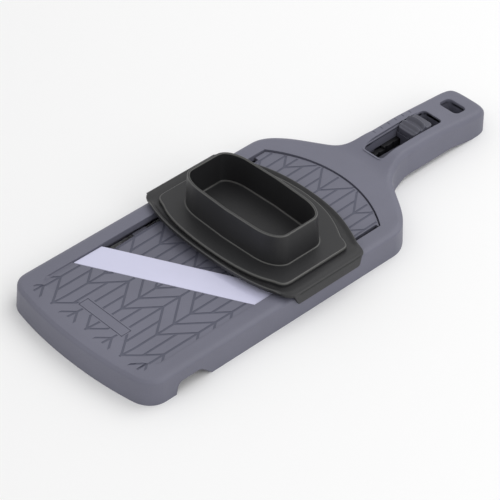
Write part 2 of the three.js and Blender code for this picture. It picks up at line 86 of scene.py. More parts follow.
HALF_WIDTH = BOARD_HIGH.x
TIP_Y = BOARD_HIGH.y
HANDLE_TOP = BOARD_HIGH.z
DECK_TOP = BLADE_HIGH.z
RAIL_TOP = DECK_TOP + 1.2
DECK_UNDER = 11.5
WALL = 2.6
DISH_HALF = 47.5
BLADE_SLOPE = 0.526
BLADE_FRONT_Y = 66.2
BLADE_DEPTH = 20.8
PLATE_HALF = 44
PLATE_THICK = 2.4
TONGUE_HALF = 46.9
ARC_CENTRE_Y = 123
PLATE_ARC_R = 79.7
SLOT_END = (179, 187)                  # rear ends of the left and right gap beside the plate
HINGE = ((HINGE_LOW.y + HINGE_HIGH.y) / 2, (HINGE_LOW.z + HINGE_HIGH.z) / 2)
PLATE_SLOPE = 0.0261
SLOT = (-7.5, 7.5, 229, 280)
HOLE = (-7.4, 7.4, 292, 301.3)
GROOVE_PITCH = 14.25
GROOVE_RISE = 17.6                     # from the valley of a chevron to its peak
CUP_Y = 132.7


# ---- sizes and colours that a user would change ------------------------------------------------
def length(name, description, millimetres):
    return bpy.props.FloatProperty(
        name=name, description=description, default=millimetres * MM, min=0.0, unit="LENGTH", precision=5)


def colour(name, description, rgb):
    return bpy.props.FloatVectorProperty(
        name=name, description=description, default=rgb, size=3, min=0.0, max=1.0, subtype="COLOR")


class SlicerShape(bpy.types.PropertyGroup):
    groove_width: length("Groove width", "Width of the herringbone grooves", 1.35)
    groove_depth: length("Groove depth", "Depth of the herringbone grooves", 0.16)
    board_round: length("Board edge", "Radius along the top edge of the board", 1.1)
    handle_round: length("Handle edge", "Radius along the top edges of the handle", 4.0)
    small_round: length("Small edge", "Width of the softened edges on the inner parts", 0.25)


class SlicerColours(bpy.types.PropertyGroup):
    slate: colour("Slate", "Moulded board, handle and slider", (0.150, 0.151, 0.196))
    # Groove: slate darkened as painted shade on the floors of the grooves and marks
    groove: colour("Groove", "Floor of the herringbone grooves", (0.092, 0.095, 0.132))
    ceramic: colour("Ceramic", "Blade", (0.62, 0.62, 0.80))
    charcoal: colour("Charcoal", "Hand guard", (0.0205, 0.0205, 0.0220))
    # Guard edges: lighter charcoal for the guard's rounded edges, a painted highlight
    edge: colour("Guard edges", "Rounded edges of the hand guard", (0.085, 0.085, 0.082))
    nylon: colour("Nylon", "Inner fittings", (0.012, 0.012, 0.014))
    rubber: colour("Rubber", "Feet", (0.020, 0.020, 0.021))
    steel: colour("Steel", "Screws, pins and spring", (0.62, 0.62, 0.64))
    floor: colour("Floor", "Stage floor", (0.92, 0.92, 0.92))


class SlicerStage(bpy.types.PropertyGroup):
    key: bpy.props.FloatProperty(
        name="Key light", description="Power of the large light above and behind", default=5.0, unit="POWER")
    side: bpy.props.FloatProperty(
        name="Side light", description="Power of the light on the right", default=2.2, unit="POWER")
    ambient: bpy.props.FloatProperty(
        name="Surroundings", description="Strength of the even light all round", default=0.75)


# ---- curves and outlines -----------------------------------------------------------------------
def smooth(share):
    share = min(1.0, max(0.0, share))
    return share * share * (3 - 2 * share)


def ramp(value, start, end):
    """0 before start, 1 after end, with soft ends."""
    return smooth((value - start) / (end - start))


def bell(distance, width):
    """1 at no distance, 0 at width and beyond, with soft ends."""
    return 1 - smooth(abs(distance) / width)


def trace(start, *steps, count=10):
    """Points along straight steps (an end) and curved steps (two handles and an end)."""
    points = [Vector((*start, 0))]
    for step in steps:
        if len(step) == 2:
            points.append(Vector((*step, 0)))
        else:
            handle_a, handle_b, end = (Vector((*p, 0)) for p in step)
            points += interpolate_bezier(points[-1], handle_a, handle_b, end, count)[1:]
    return points


def mirrored(half):
    """Closed outline from its right-hand half, which runs from front to rear."""
    return half + [Vector((-p.x, p.y, 0)) for p in reversed(half) if p.x > 1e-4]


def rounded(x0, x1, y0, y1, radius, grow=0.0, count=6):
    """Rounded rectangle, moved outwards by grow."""
    x0, x1, y0, y1, radius = x0 - grow, x1 + grow, y0 - grow, y1 + grow, radius + grow
    corners = ((x1, y0, -90), (x1, y1, 0), (x0, y1, 90), (x0, y0, 180))
    points = []
    for x, y, start in corners:
        centre = Vector((x - math.copysign(radius, x - (x0 + x1) / 2),
                         y - math.copysign(radius, y - (y0 + y1) / 2), 0))
        for i in range(count + 1):
            angle = math.radians(start + 90 * i / count)
            points.append(centre + Vector((math.cos(angle), math.sin(angle), 0)) * radius)
    return points


def board_outline():
    front = -FRONT_FOOT
    half, handle, tip = HALF_WIDTH, 16, TIP_Y
    return mirrored(trace(
        (0, front), ((17.3, front), (33.3, front + 1.5), (48, 3)), ((54, 4.5), (half, 9), (half, 16)),
        (half, 100), (half, 187), ((half, 196.5), (51, 203.5), (41.5, 210)), (27, 219.5),
        ((19.5, 224.5), (handle + 1, 231), (handle, 243)), (handle, 298),
        ((handle, 312), (14, tip), (0, tip)), count=14))


def rear_arc(radius, half_width, steps=40):
    reach = math.asin(half_width / radius)
    angles = [reach * (1 - 2 * i / steps) for i in range(steps + 1)]
    return [Vector((radius * math.sin(a), ARC_CENTRE_Y + radius * math.cos(a), 0)) for a in angles]


def blade_line(x, offset=0.0):
    return BLADE_FRONT_Y + BLADE_SLOPE * x + offset


def barrel_outline(half, front, rear, side_front, side_rear):
    """Outline of the guard: bowed ends and straight sides with soft corners."""
    return mirrored(trace(
        (0, front), ((half * 0.45, front), (half * 0.7, front + 3), (half * 0.84, front + 7)),
        ((half * 0.93, front + 8.9), (half, side_front - 3), (half, side_front + 4)),
        (half, side_rear),
        ((half, side_rear + 4), (half * 0.95, side_rear + 5.2), (half * 0.84, side_rear + 6.5)),
        ((half * 0.6, rear - 5), (half * 0.4, rear), (0, rear)), count=12))


def cup_outline(half_x, half_y, corner=13):
    """Oval of the cup: long sides that bow slightly and round ends."""
    flat = half_x - corner - 6
    half = trace(
        (0, -half_y), (flat, -half_y + 0.8),
        ((half_x - corner + 5, -half_y + 1.2), (half_x, -half_y + 6), (half_x, -half_y + corner)),
        (half_x, half_y - corner),
        ((half_x, half_y - 6), (half_x - corner + 5, half_y - 1.2), (flat, half_y - 0.8)),
        (0, half_y), count=14)
    return [Vector((p.x, p.y + CUP_Y, 0)) for p in mirrored(half)]


def closeness(points):
    """Function that gives the distance from a place to an outline."""
    a = np.array([(p.x, p.y) for p in points])
    run = np.roll(a, -1, axis=0) - a
    squares = np.maximum((run ** 2).sum(1), 1e-12)

    def distance(x, y):
        here = np.array((x, y)) - a
        share = np.clip((here * run).sum(1) / squares, 0, 1)
        return float(np.sqrt(((here - run * share[:, None]) ** 2).sum(1)).min())

    return distance


# ---- solids ------------------------------------------------------------------------------------
def level(height, x, y):
    return height(x, y) if callable(height) else height


def slab(points, low, high, rings=(), cuts=()):
    """Closed solid over an outline between two heights; rings follow its edge and cuts divide it."""
    bm = bmesh.new()
    face = bm.faces.new([bm.verts.new(p) for p in points])
    for width in rings:
        bm.normal_update()
        bmesh.ops.inset_region(bm, faces=[face], thickness=width, use_boundary=True, use_even_offset=True)
    for axis, place in cuts:
        normal = Vector((1, 0, 0)) if axis == "x" else Vector((0, 1, 0))
        bmesh.ops.bisect_plane(bm, geom=bm.verts[:] + bm.edges[:] + bm.faces[:], dist=1e-4,
                               plane_co=normal * place, plane_no=normal)
    floor = set(bm.verts)
    bmesh.ops.extrude_face_region(bm, geom=bm.faces[:])
    for vert in bm.verts:
        height = low if vert in floor else high
        vert.co.z = level(height, vert.co.x, vert.co.y)
    bmesh.ops.recalc_face_normals(bm, faces=bm.faces)
    return bm


def turn(radius, start, end, steps=4):
    """Steps of a rounded edge as (rise, width) while the direction turns: 90 is up, 0 inwards, -90 down."""
    angles = [math.radians(start + (end - start) * i / steps) for i in range(steps + 1)]
    sign = 1 if end > start else -1
    return [(sign * radius * (math.cos(a) - math.cos(b)), sign * radius * (math.sin(b) - math.sin(a)))
            for a, b in zip(angles, angles[1:])]


def tower(points, base, *steps, highlight_slot=0):
    """Closed solid that grows from an outline: each step rises and moves inwards. The first only rises.
    The narrow rounded strips take the material in highlight_slot, a painted edge highlight."""
    bm = bmesh.new()
    face = bm.faces.new([bm.verts.new((p.x, p.y, base)) for p in points])
    for i, (rise, width) in enumerate(steps):
        if i == 0 or not width:
            made = bmesh.ops.extrude_face_region(bm, geom=[face])["geom"]
            face = next(item for item in made if isinstance(item, bmesh.types.BMFace))
        else:
            bm.normal_update()
            ring = bmesh.ops.inset_region(bm, faces=[face], thickness=width, use_even_offset=True)["faces"]
            for strip in ring:
                strip.material_index = highlight_slot if 0 < abs(rise) < 0.6 and width < 0.6 else 0
        bmesh.ops.translate(bm, vec=(0, 0, rise), verts=face.verts[:])
    bmesh.ops.recalc_face_normals(bm, faces=bm.faces)
    return bm


def loft(*levels):
    """Closed solid through outlines with equally many points; each level is (points, height)."""
    bm = bmesh.new()
    rings = []
    for points, height in levels:
        verts = [bm.verts.new((p.x, p.y, level(height, p.x, p.y))) for p in points]
        rings.append([bm.edges.new((a, b)) for a, b in zip(verts, verts[1:] + verts[:1])])
        if any(end[0] is points and end[1] is height for end in (levels[0], levels[-1])):
            bm.faces.new(verts)
    for below, above in zip(rings, rings[1:]):
        bmesh.ops.bridge_loops(bm, edges=below + above)
    bmesh.ops.recalc_face_normals(bm, faces=bm.faces)
    return bm


def lipped(box, radius, low, surface, lip=0.5):
    """Cutter for an opening with softened edges where it meets a surface."""
    shape = [rounded(*box, radius, grow=lip * share) for share in (0, 0, 0.3, 1, 1)]
    drops = (None, -lip, -lip * 0.35, 0.03, 6)
    heights = [low] + [lambda x, y, d=d: surface(x, y) + d for d in drops[1:]]
    return loft(*zip(shape, heights))


def along_x(points, x0, x1):
    """Prism over a YZ outline between two X values."""
    bm = bmesh.new()
    face = bm.faces.new([bm.verts.new((x0, p.x, p.y)) for p in points])
    made = bmesh.ops.extrude_face_region(bm, geom=[face])["geom"]
    verts = [item for item in made if isinstance(item, bmesh.types.BMVert)]
    bmesh.ops.translate(bm, vec=(x1 - x0, 0, 0), verts=verts)
    bmesh.ops.recalc_face_normals(bm, faces=bm.faces)
    return bm


def block(x0, x1, y0, y1, z0, z1, soft=0.0):
    bm = bmesh.new()
    size = Matrix.Diagonal((x1 - x0, y1 - y0, z1 - z0, 1))
    centre = Matrix.Translation(((x0 + x1) / 2, (y0 + y1) / 2, (z0 + z1) / 2))
    bmesh.ops.create_cube(bm, size=1, matrix=centre @ size)
    if soft:
        bevel(bm, bm.edges[:], soft)
    return bm


def post(x, y, radius, z0, z1, sides=40):
    bm = bmesh.new()
    bmesh.ops.create_cone(bm, cap_ends=True, segments=sides, radius1=radius, radius2=radius, depth=z1 - z0,
                          matrix=Matrix.Translation((x, y, (z0 + z1) / 2)))
    return bm


def cross_rod(y, z, radius, x0, x1, sides=40):
    bm = bmesh.new()
    place = Matrix.Translation(((x0 + x1) / 2, y, z)) @ Matrix.Rotation(math.radians(90), 4, "Y")
    bmesh.ops.create_cone(bm, cap_ends=True, segments=sides, radius1=radius, radius2=radius,
                          depth=abs(x1 - x0), matrix=place)
    return bm


def turned(profile, x, y, steps=40):
    """Solid of revolution about a vertical line; the profile is (radius, height) from axis to axis."""
    bm = bmesh.new()
    verts = [bm.verts.new((radius, 0, z)) for radius, z in profile]
    edges = [bm.edges.new(pair) for pair in zip(verts, verts[1:])]
    bmesh.ops.spin(bm, geom=verts + edges, cent=(0, 0, 0), axis=(0, 0, 1), angle=2 * math.pi, steps=steps,
                   use_merge=True)
    bmesh.ops.remove_doubles(bm, verts=bm.verts, dist=1e-4)
    bmesh.ops.translate(bm, vec=(x, y, 0), verts=bm.verts)
    bmesh.ops.recalc_face_normals(bm, faces=bm.faces)
    return bm


def bevel(bm, edges, width, segments=2):
    bmesh.ops.bevel(bm, geom=edges, offset=width, offset_type="OFFSET", segments=segments, profile=0.5,
                    affect="EDGES", clamp_overlap=True, material=-1)


def gather(*solids):
    """One mesh holding several solids."""
    whole = bmesh.new()
    for bm in solids:
        mesh = bpy.data.meshes.new("part")
        bm.to_mesh(mesh)
        bm.free()
        whole.from_mesh(mesh)
        bpy.data.meshes.remove(mesh)
    return whole


def workpiece(name, bm, *materials):
    """Object in millimetres while it is being worked on."""
    mesh = bpy.data.meshes.new(name)
    bent = [face for face in bm.faces if len(face.verts) > 3]
    bmesh.ops.triangulate(bm, faces=bent)
    bm.to_mesh(mesh)
    bm.free()
    for material in materials:
        mesh.materials.append(material)
    obj = bpy.data.objects.new(name, mesh)
    bpy.context.scene.collection.objects.link(obj)
    return obj


def join_on(obj, *others):
    """Adds workpieces to the mesh of another as solids of their own."""
    bm = bmesh.new()
    for item in (obj, *others):
        bm.from_mesh(item.data)
    bm.to_mesh(obj.data)
    bm.free()
    for item in others:
        used = item.data
        bpy.data.objects.remove(item)
        bpy.data.meshes.remove(used)


def carve(obj, bm, material=None, overlapping=False):
    """Cuts a solid out of a workpiece; the cut faces take the material if one is given."""
    tool = workpiece("tool", bm, *([material] if material else obj.data.materials))
    cut = obj.modifiers.new("cut", "BOOLEAN")
    cut.object, cut.operation, cut.solver = tool, "DIFFERENCE", "EXACT"
    cut.material_mode = "TRANSFER"
    cut.use_self = overlapping
    bpy.context.view_layer.update()
    result = bpy.data.meshes.new_from_object(obj.evaluated_get(bpy.context.evaluated_depsgraph_get()))
    obj.modifiers.clear()
    old = obj.data
    obj.data = result
    result.name = old.name
    bpy.data.meshes.remove(old)
    used = tool.data
    bpy.data.objects.remove(tool)
    bpy.data.meshes.remove(used)
    if not obj.data.polygons:
        raise RuntimeError(f"nothing is left of {obj.name}")


def finish_piece(obj, body, slot, *nodes, sharp=32, weighted=True):
    """Moves a finished workpiece to metres in the row frame and hands it to its body."""
    obj.data.transform(Matrix.Translation((0, EDGE_Y, 0)) @ Matrix.Scale(MM, 4))
    obj.data.shade_smooth()
    obj.data.set_sharp_from_angle(angle=math.radians(sharp))
    if weighted:
        normals = obj.modifiers.new("even shading", "WEIGHTED_NORMAL")
        normals.keep_sharp = True
    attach(obj, body)
    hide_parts(*nodes)
    return obj


def softened(node, name, body, slot, material, width, angle=25):
    """Copy of a CAD node with its sharp edges rounded."""
    bm = bmesh.new()
    bm.from_mesh(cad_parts[node].data)
    to_work = Matrix.Scale(1 / MM, 4) @ Matrix.Translation((0, -EDGE_Y, 0))
    bmesh.ops.transform(bm, matrix=to_work, verts=bm.verts)
    bmesh.ops.remove_doubles(bm, verts=bm.verts, dist=0.01)
    bmesh.ops.dissolve_limit(bm, angle_limit=math.radians(1), verts=bm.verts, edges=bm.edges)
    sharp = [e for e in bm.edges if e.is_manifold and e.calc_face_angle(0) > math.radians(angle)]
    bevel(bm, sharp, width)
    return finish_piece(workpiece(name, bm, material), body, slot, node)


# ---- materials ---------------------------------------------------------------------------------
class Signal:
    """A shader output that takes part in Python arithmetic."""

    def __init__(self, finish, socket):
        self.finish, self.socket = finish, socket

    def _sum(self, operation, a, b):
        return self.finish.add("ShaderNodeMath", {"operation": operation}, {0: a, 1: b})

    def __add__(self, other):
        return self._sum("ADD", self, other)

    def __radd__(self, other):
        return self._sum("ADD", other, self)

    def __sub__(self, other):
        return self._sum("SUBTRACT", self, other)

    def __rsub__(self, other):
        return self._sum("SUBTRACT", other, self)

    def __mul__(self, other):
        return self._sum("MULTIPLY", self, other)

    def __rmul__(self, other):
        return self._sum("MULTIPLY", other, self)

    def above(self, start, end):
        """0 below start and 1 above end."""
        return self.finish.add("ShaderNodeMapRange", {"interpolation_type": "SMOOTHSTEP"},
                               {"Value": self, "From Min": start, "From Max": end})


class Finish:
    """A material on a Principled shader, with object coordinates in metres."""

    def __init__(self, name, **constants):
        self.material = bpy.data.materials.new(name)
        self.material.use_nodes = True
        self.tree = self.material.node_tree
        self.tree.nodes.clear()
        output = self.tree.nodes.new("ShaderNodeOutputMaterial")
        self.shader = self.tree.nodes.new("ShaderNodeBsdfPrincipled")
        self.tree.links.new(self.shader.outputs[0], output.inputs[0])
        for socket, value in constants.items():
            self.shader.inputs[socket.replace("_", " ")].default_value = value
        self.place = self.add("ShaderNodeTexCoord", output="Object")

    def add(self, kind, settings=None, inputs=None, output=0):
        """Adds a node: its settings first, then the values or links of its sockets."""
        node = self.tree.nodes.new(kind)
        for key, value in (settings or {}).items():
            setattr(node, key, value)
        for key, value in (inputs or {}).items():
            if isinstance(value, Signal):
                self.tree.links.new(value.socket, node.inputs[key])
            else:
                node.inputs[key].default_value = value
        return Signal(self, node.outputs[output])

    def stretched(self, x, y, z, turn_z=0.0):
        return self.add("ShaderNodeMapping", inputs={
            "Vector": self.place, "Scale": (x, y, z), "Rotation": (0, 0, turn_z)})

    def noise(self, scale, detail=3.0, roughness=0.55, place=None, distortion=0.0):
        return self.add("ShaderNodeTexNoise", inputs={
            "Vector": place or self.place, "Scale": scale, "Detail": detail, "Roughness": roughness,
            "Distortion": distortion})

    def grain(self, scale):
        return self.add("ShaderNodeTexVoronoi", {"feature": "F1"}, {"Vector": self.place, "Scale": scale})

    def blend(self, share, a, b, mode="MIX"):
        a, b = [c if isinstance(c, Signal) else (*c, 1) for c in (a, b)]
        return self.add("ShaderNodeMix", {"data_type": "RGBA", "blend_type": mode}, {0: share, 6: a, 7: b}, 2)

    def set(self, **signals):
        for socket, signal in signals.items():
            self.tree.links.new(signal.socket, self.shader.inputs[socket.replace("_", " ")])

    def relief(self, height, distance, strength=1.0):
        self.set(Normal=self.add("ShaderNodeBump", inputs={
            "Strength": strength, "Distance": distance, "Height": height}))


def tinted(rgb, factor):
    return tuple(min(1.0, c * factor) for c in rgb)


def moulded(name, rgb, rough, depth=0.00004, spread=0.12, grain=2600.0):
    """Moulded plastic with a spark-eroded grain, faint flow marks and rubbed spots."""
    finish = Finish(name, IOR=1.46)
    broad = finish.noise(14, 4, 0.6)
    flow = finish.noise(60, 3, 0.5, place=finish.stretched(1, 0.25, 1))
    fine = finish.noise(grain, 2, 0.6)
    pits = finish.grain(grain * 0.7)
    base = finish.blend(broad.above(0.3, 0.7), tinted(rgb, 1 - spread / 2), tinted(rgb, 1 + spread / 2))
    speckled = finish.blend(fine.above(0.35, 0.75) * 0.22, base, tinted(rgb, 0.72))
    rubbed = finish.blend(flow.above(0.55, 0.85) * 0.25, speckled, tinted(rgb, 1.18))
    finish.set(Base_Color=rubbed, Roughness=rough + (broad - 0.5) * 0.16 + (fine - 0.5) * 0.12)
    finish.relief(fine * 0.7 + pits * 0.5 + broad * 0.3, depth)
    return finish.material


def ceramic_finish(rgb):
    finish = Finish("white_ceramic", IOR=1.9, Coat_IOR=1.6)
    slant = math.atan(BLADE_SLOPE)
    ground = finish.noise(900, 2, 0.5, place=finish.stretched(0.02, 1, 1, slant))
    cloud = finish.noise(35, 3, 0.5)
    finish.set(Base_Color=finish.blend(cloud.above(0.3, 0.75), tinted(rgb, 0.97), tinted(rgb, 1.03)),
               Roughness=0.13 + ground * 0.09 + cloud * 0.04)
    finish.relief(ground, 0.000004)
    return finish.material


def steel_finish(rgb):
    finish = Finish("bright_steel")
    scratch = finish.noise(1500, 3, 0.6, place=finish.stretched(1, 1, 0.1))
    stain = finish.noise(120, 3, 0.5)
    finish.shader.inputs["Metallic"].default_value = 1.0
    finish.set(Base_Color=finish.blend(stain.above(0.35, 0.8), rgb, tinted(rgb, 0.8)),
               Roughness=0.24 + scratch * 0.16)
    finish.relief(scratch, 0.00001)
    return finish.material


def rubber_finish(rgb):
    finish = Finish("rubber", IOR=1.5)
    dust = finish.noise(400, 4, 0.6)
    finish.set(Base_Color=finish.blend(dust.above(0.5, 0.85), rgb, tinted(rgb, 2.4)),
               Roughness=0.78 + dust * 0.15)
    finish.relief(dust, 0.00005)
    return finish.material


def floor_finish(rgb):
    finish = Finish("floor", Roughness=0.9)
    cloud = finish.noise(3, 2, 0.4)
    finish.set(Base_Color=finish.blend(cloud, tinted(rgb, 0.99), tinted(rgb, 1.01)))
    return finish.material


MATERIALS = {}


def make_materials(colours):
    MATERIALS.update(
        slate=moulded("slate_shell", colours.slate, 0.5),
        plate=moulded("slate_plate", tinted(colours.slate, 0.97), 0.52),
        # Darker slate for the groove floors is painted shade
        groove=moulded("slate_groove_shade", colours.groove, 0.6),
        slider=moulded("slate_slider", tinted(colours.slate, 0.55), 0.38),
        charcoal=moulded("charcoal_guard", colours.charcoal, 0.42, depth=0.00005, grain=2200.0),
        # Lighter charcoal on the guard's rounded edges is a painted highlight
        worn=moulded("charcoal_edge_highlight", colours.edge, 0.32, depth=0.00002, grain=2200.0),
        nylon=moulded("black_nylon", colours.nylon, 0.5),
        ceramic=ceramic_finish(colours.ceramic),
        steel=steel_finish(colours.steel),
        rubber=rubber_finish(colours.rubber),
        floor=floor_finish(colours.floor))


# ---- board -------------------------------------------------------------------------------------
def edge_drop(distance, radius):
    """How far a rounded edge lies below the surface beside it."""
    if distance >= radius:
        return 0.0
    return radius - math.sqrt(radius ** 2 - (radius - distance) ** 2)


class BoardSurface:
    """Height of the board's top: flat rails and rear, a sunk deck, sloping edges and a raised handle."""

    def __init__(self, shape):
        self.distance = closeness(board_outline())
        self.board_round, self.handle_round = shape.board_round / MM, shape.handle_round / MM

    def crown(self, x, y):
        if y < 170:
            return RAIL_TOP
        beyond = math.hypot(x, y - 160) - 60
        narrow = 1 - ramp(abs(x), 13, 29) * (1 - ramp(y, 222, 240))
        rise = (HANDLE_TOP - RAIL_TOP) * ramp(beyond, 0, 21) * narrow
        return RAIL_TOP + rise - 4.3 * ramp(y, 255, 320)

    def dish(self, x, y):
        corner = 9 - math.sqrt(max(0.0, 81 - max(0.0, 25 - y) ** 2)) if y < 25 else 0.0
        wall = DISH_HALF - min(corner, 9)
        return (RAIL_TOP - DECK_TOP) * ramp(y, 6, 22) * (1 - ramp(abs(x), wall - 0.25, wall + 0.25))

    def edge(self, x, y):
        d = self.distance(x, y)
        neck = ramp(y, 206, 232)
        body = max(0.0, 1 - d / 3.6) * 1.05 + edge_drop(d, self.board_round)
        return body * (1 - neck) + edge_drop(d, self.handle_round) * neck

    def __call__(self, x, y):
        sunk = self.dish(x, y) if y < 112 else 0.0
        return self.crown(x, y) - self.edge(x, y) - sunk

    def foot(self, x, y):
        return float(np.interp(y, (222, 232, 240, 281, 290, 298, 310, 313), (0, 1, 3, 3, 1.2, 0, 0, 1.5)))


def board_blank(surface):
    """Outer body of the board without its openings."""
    rings = (0.12, 0.2, 0.3, 0.4, 0.55, 0.75, 1.3)
    across = [0, 3, 6, 9, 12, 15, 18, 21.5, 25, 29, 34, 39, 43, 45, 46.4, 47.15, 47.35, 47.65, 47.85, 50, 53]
    lengthwise = [*range(2, 23, 2), 25, 60, 110, 160, 190, *np.arange(200, 312, 2.5)]
    cuts = [("x", side * x) for x in across for side in (-1, 1) if x or side > 0]
    bm = slab(board_outline(), surface.foot, surface, rings, cuts + [("y", y) for y in lengthwise])
    for vert in bm.verts:
        x, y, z = vert.co
        lean = (1 - ramp(surface.distance(x, y), 0.5, 4)) * z / RAIL_TOP
        vert.co.x -= math.copysign(0.6 * lean * (1 - ramp(y, 270, 312)), x) if abs(x) > 8 else 0.0
        vert.co.y += FRONT_FOOT * lean * (1 - ramp(y, 0, 22))
    return bm


def board_cavity():
    """Hollow under the board, inside its walls."""
    bm = bmesh.new()
    face = bm.faces.new([bm.verts.new(p) for p in board_outline()])
    bm.normal_update()
    ring = bmesh.ops.inset_region(bm, faces=[face], thickness=WALL, use_boundary=True,
                                  use_even_offset=True)["faces"]
    bmesh.ops.delete(bm, geom=ring, context="FACES")
    inner = [v.co.copy() for v in face.verts]
    bm.free()
    places = (205, 216, 224, 231, 238, 262, 275, 286, 300, 312)
    heights = (DECK_UNDER, 12.6, 14.5, 16.2, 17, 17, 16.2, 15.1, 13.6, 12)
    cuts = [("y", y) for y in places]
    return slab(inner, -2, lambda x, y: float(np.interp(y, places, heights)), rings=(), cuts=cuts)


def chevron(base, x):
    """Height along Y of a chevron with its valleys on the even spines."""
    share = abs((x / GROOVE_PITCH) % 2 - 1)
    return base + GROOVE_RISE * (1 - share)


def runs_inside(inside, start, end, at):
    """Stretches between two values where the place that each value gives lies inside."""
    values = np.linspace(start, end, 400)
    kept = [v for v in values if inside(*at(v))]
    breaks = np.where(np.diff(kept) > 1.5 * (values[1] - values[0]))[0] + 1
    return [(run[0], run[-1]) for run in np.split(np.array(kept), breaks) if len(run) > 3]


def groove_bar(x0, x1, lower, upper, depth, surface):
    """Cutter for one groove that follows the surface, between two values of X and two edges along Y."""
    bm = bmesh.new()
    bmesh.ops.create_cube(bm, size=1)
    along = 0 if x1 - x0 > upper(x0) - lower(x0) else 1
    sides = [edge for edge in bm.edges if abs(edge.verts[0].co[along] - edge.verts[1].co[along]) > 0.5]
    bmesh.ops.subdivide_edges(bm, edges=sides, cuts=7)
    for vert in bm.verts:
        u, v, w = vert.co + Vector((0.5, 0.5, 0.5))
        x = x0 + (x1 - x0) * u
        y = lower(x) * (1 - v) + upper(x) * v
        vert.co = (x, y, surface(x, y) + (1.0 if w > 0.5 else -depth))
    return bm


def vertical_grooves(bands, inside, reach, shape, surface):
    """Spines along the whole pattern and the extra bars that cross its wide bands."""
    half, depth = shape.groove_width / MM / 2, shape.groove_depth / MM
    bars = []
    for k in range(-3, 4):
        x = k * GROOVE_PITCH
        for low, high in runs_inside(inside, -5, 210, lambda y: (x, y)):
            bars.append(groove_bar(x - half, x + half, lambda _: low, lambda _: high, depth, surface))
        for first, last in bands:
            middle = x + GROOVE_PITCH / 2
            if abs(middle) > reach:
                continue
            span = runs_inside(inside, chevron(first, middle), chevron(last, middle), lambda y: (middle, y))
            for low, high in span:
                bars.append(groove_bar(middle - half, middle + half, lambda _: low, lambda _: high,
                                       depth, surface))
    return gather(*bars)


def slanted_grooves(bases, inside, reach, shape, surface):
    """Legs of the chevrons, a little deeper than the spines that they run into."""
    tall = shape.groove_width / MM / 2 * math.hypot(1, GROOVE_RISE / GROOVE_PITCH)
    depth = shape.groove_depth / MM + 0.02
    bars = []
    for base in bases:
        for k in range(-4, 4):
            start = max(-reach, k * GROOVE_PITCH + 0.2)
            end = min(reach, (k + 1) * GROOVE_PITCH - 0.2)
            for x0, x1 in runs_inside(inside, start, end, lambda x: (x, chevron(base, x))):
                bars.append(groove_bar(x0, x1, lambda x: chevron(base, x) - tall,
                                       lambda x: chevron(base, x) + tall, depth, surface))
    return gather(*bars)


def groove(obj, bases, bands, inside, reach, shape, surface):
    """Presses the herringbone pattern into a workpiece; the cut faces take the darker groove colour, painted
    shade.
    """
    for bars in (vertical_grooves(bands, inside, reach, shape, surface),
                 slanted_grooves(bases, inside, reach, shape, surface)):
        carve(obj, bars, material=MATERIALS["groove"])


LABEL = (-19, 17, 21.6, 28.6)          # plain frame on the deck: X from and to, Y from and to
DECK_ROWS = (-0.5, 11.5, 36.2, 48.4, 60.6)
DECK_BANDS = ((11.5, 36.2), (60.6, 85))
DECK_REACH = 46                        # the deck's pattern ends this far from the middle
PLATE_ROWS = (40.6, 52.8, 65, 89, 101.2, 113.4, 125.6, 137.8, 150, 162, 185)
PLATE_BANDS = ((65, 89), (162, 185))
PLATE_REACH = 43


def on_deck(x, y):
    label = LABEL[0] - 0.6 < x < LABEL[1] + 0.6 and LABEL[2] - 0.6 < y < LABEL[3] + 0.6
    return 9.6 < y < blade_line(x, -0.3) and not label


def on_plate(x, y):
    arc = math.hypot(x, y - ARC_CENTRE_Y) < PLATE_ARC_R - 1.0
    return blade_line(x, BLADE_DEPTH + 2.1) < y and (y < ARC_CENTRE_Y or arc)


class SLICER_OT_board(bpy.types.Operator):
    """Build the board: deck, rails, shoulders and handle in one moulding"""
    bl_idname = "slicer.board"
    bl_label = "Board"

    def execute(self, context):
        shape = context.scene.slicer_shape
        surface = BoardSurface(shape)
        board = workpiece("board", board_blank(surface), MATERIALS["slate"])
        carve(board, board_cavity())
        carve(board, board_openings(surface))
        groove(board, DECK_ROWS, DECK_BANDS, on_deck, DECK_REACH, shape, surface)
        # The marks' cut faces take the darker groove colour as painted shade
        carve(board, board_marks(surface), material=MATERIALS["groove"])
        fittings = workpiece("fittings", board_fittings(), MATERIALS["slate"])
        carve(fittings, board_openings(surface))
        join_on(board, fittings, workpiece("cover_posts", cover_posts(), MATERIALS["slate"]))
        finish_piece(board, "frame", "slate_shell", "main_frame")
        return {"FINISHED"}


def board_fittings():
    """Ribs, bosses and collars under the deck and inside the handle."""
    parts = [
        slab(rounded(SLOT[0], SLOT[1], SLOT[2], SLOT[3], 2.5, grow=1.5), 11.3, 17.4),
        slab(rounded(*HOLE, 3, grow=2), 0.02, 14.6),
        block(-57, 57, 140, 146, 1.5, 4.2, soft=0.6),
        post(0, 306.6, 3.4, 2.1, 14),
    ]
    for x in (-30, -10, 10, 30):
        parts.append(block(x - 0.8, x + 0.8, 2.6, blade_line(x, -12), 7, 12, soft=0.3))
    for side in (-1, 1):
        near, far = sorted((side * 48, side * 57.5))
        parts.append(block(near, far, HINGE[0] - 4, HINGE[0] + 4, 4.5, 13, soft=0.5))
        parts.append(post(side * 12.5, 212, 3.6, 5.5, 13))
        parts.append(post(side * 49, 13.5, 6.5, 2.3, 12))
    return gather(*parts)


def cover_posts():
    return gather(*[post(side * 10.9, y, 2.55, 5.3, 16) for side in (-1, 1) for y in (238, 281.5)])


def plate_window():
    points = [Vector((side * DISH_HALF, blade_line(side * DISH_HALF), 0)) for side in (-1, 1)]
    return slab(points + rear_arc(PLATE_ARC_R + 0.4, DISH_HALF), 6, 30)


def bowl_notch(side):
    outline = trace((22.8, -1), (24.2, 3.6), ((24.9, 6.2), (26.2, 7.3), (29, 7.3)), (38.5, 7.3),
                    ((41.2, 7.3), (43.5, 5.2), (46, 2.4)), (49.6, -1), count=8)
    near, far = sorted((side * 52, side * 61))
    return along_x(outline, near, far)


